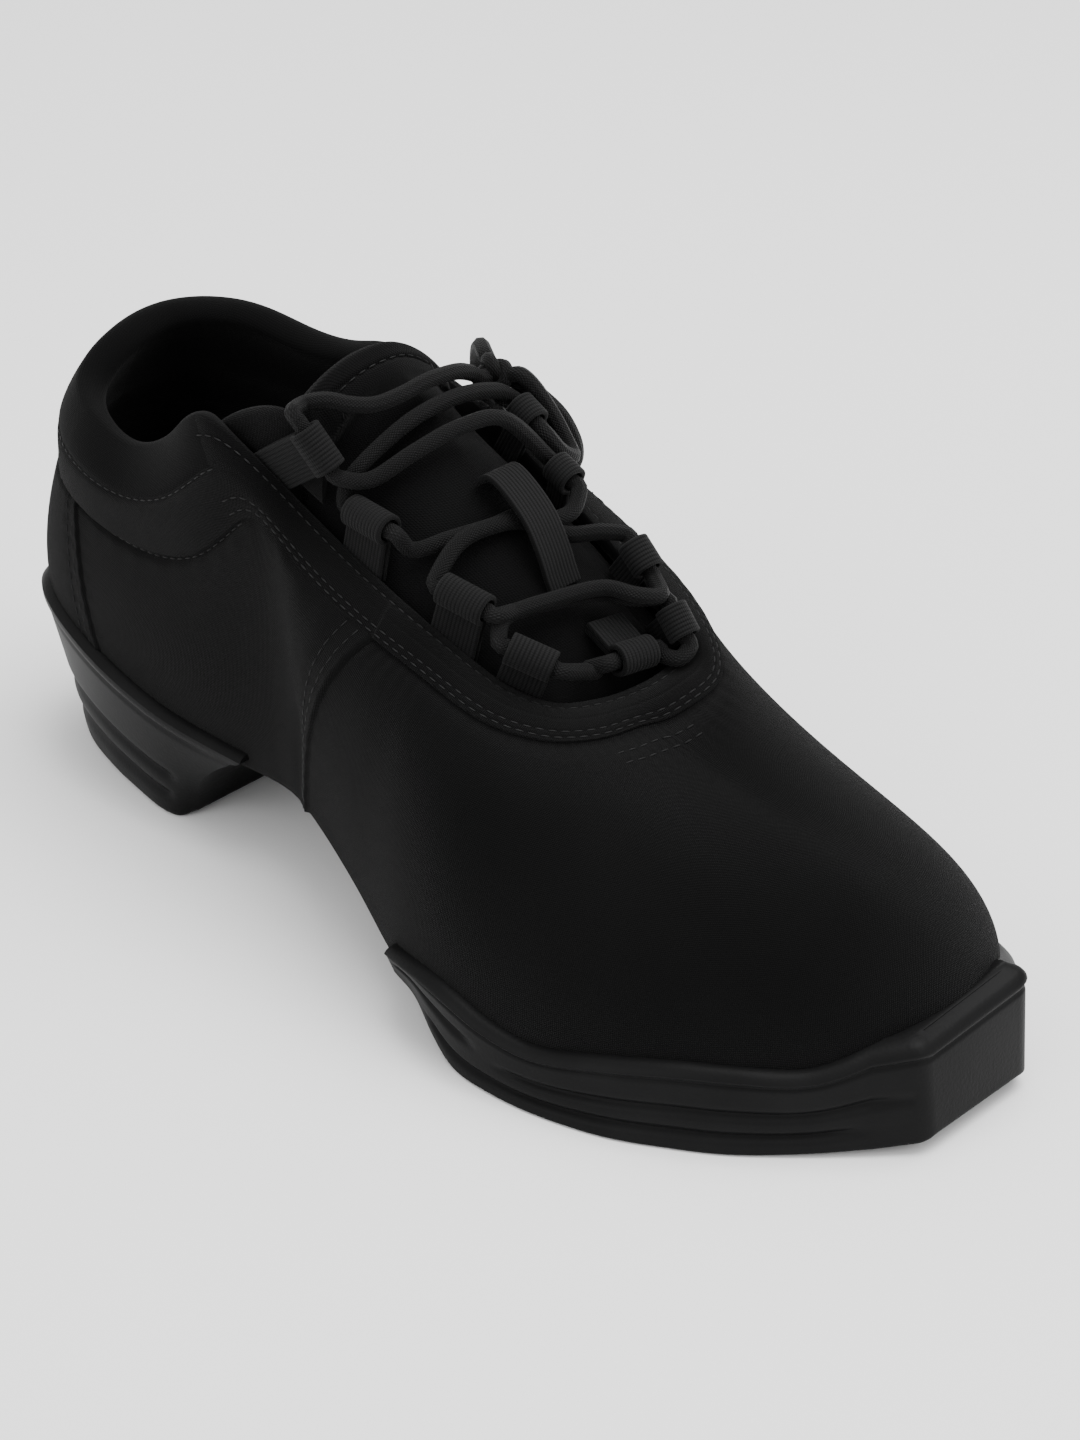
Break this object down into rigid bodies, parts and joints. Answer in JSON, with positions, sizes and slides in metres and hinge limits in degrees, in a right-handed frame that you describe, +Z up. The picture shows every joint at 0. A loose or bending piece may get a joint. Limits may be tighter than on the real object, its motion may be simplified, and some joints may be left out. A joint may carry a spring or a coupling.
{
  "type": "dance sneaker",
  "caption": "Black canvas split-sole dance sneaker for the right foot, with padded collar, webbing lace loops, round lace, bow and square rubber toe block.",
  "frame": {"origin": "on the ground, at the middle of the footprint box", "axes": "+X towards the toe, +Y towards the inner (medial) side of the right foot, +Z up"},
  "size_m": [0.2562, 0.1014, 0.1182],
  "materials": {
    "canvas": "fine black canvas weave, matt",
    "rubber": "satin matt black rubber",
    "lining": "soft black lining",
    "twill": "black twill with bound edge",
    "webbing": "ribbed black webbing",
    "lace": "round ridged stretch lace"
  },
  "bodies": {
    "root": {"upper": "canvas", "forefoot_sole": "rubber", "heel_sole": "rubber", "insole": "lining", "tongue": "twill", "tongue_keeper": "webbing", "lace_crossings": "lace", "lace_loop_outer_1": "webbing", "lace_loop_outer_2": "webbing", "lace_loop_outer_3": "webbing", "lace_loop_outer_4": "webbing", "lace_loop_inner_1": "webbing", "lace_loop_inner_2": "webbing", "lace_loop_inner_3": "webbing", "lace_loop_inner_4": "webbing", "lace_loop_toe": "webbing", "bow_knot": "lace", "bow_strand_outer": "lace", "bow_strand_inner": "lace", "bow_loop_rear": "lace", "bow_loop_front": "lace", "bow_end_rear": "lace", "bow_end_front": "lace"}
  },
  "joints": []
}
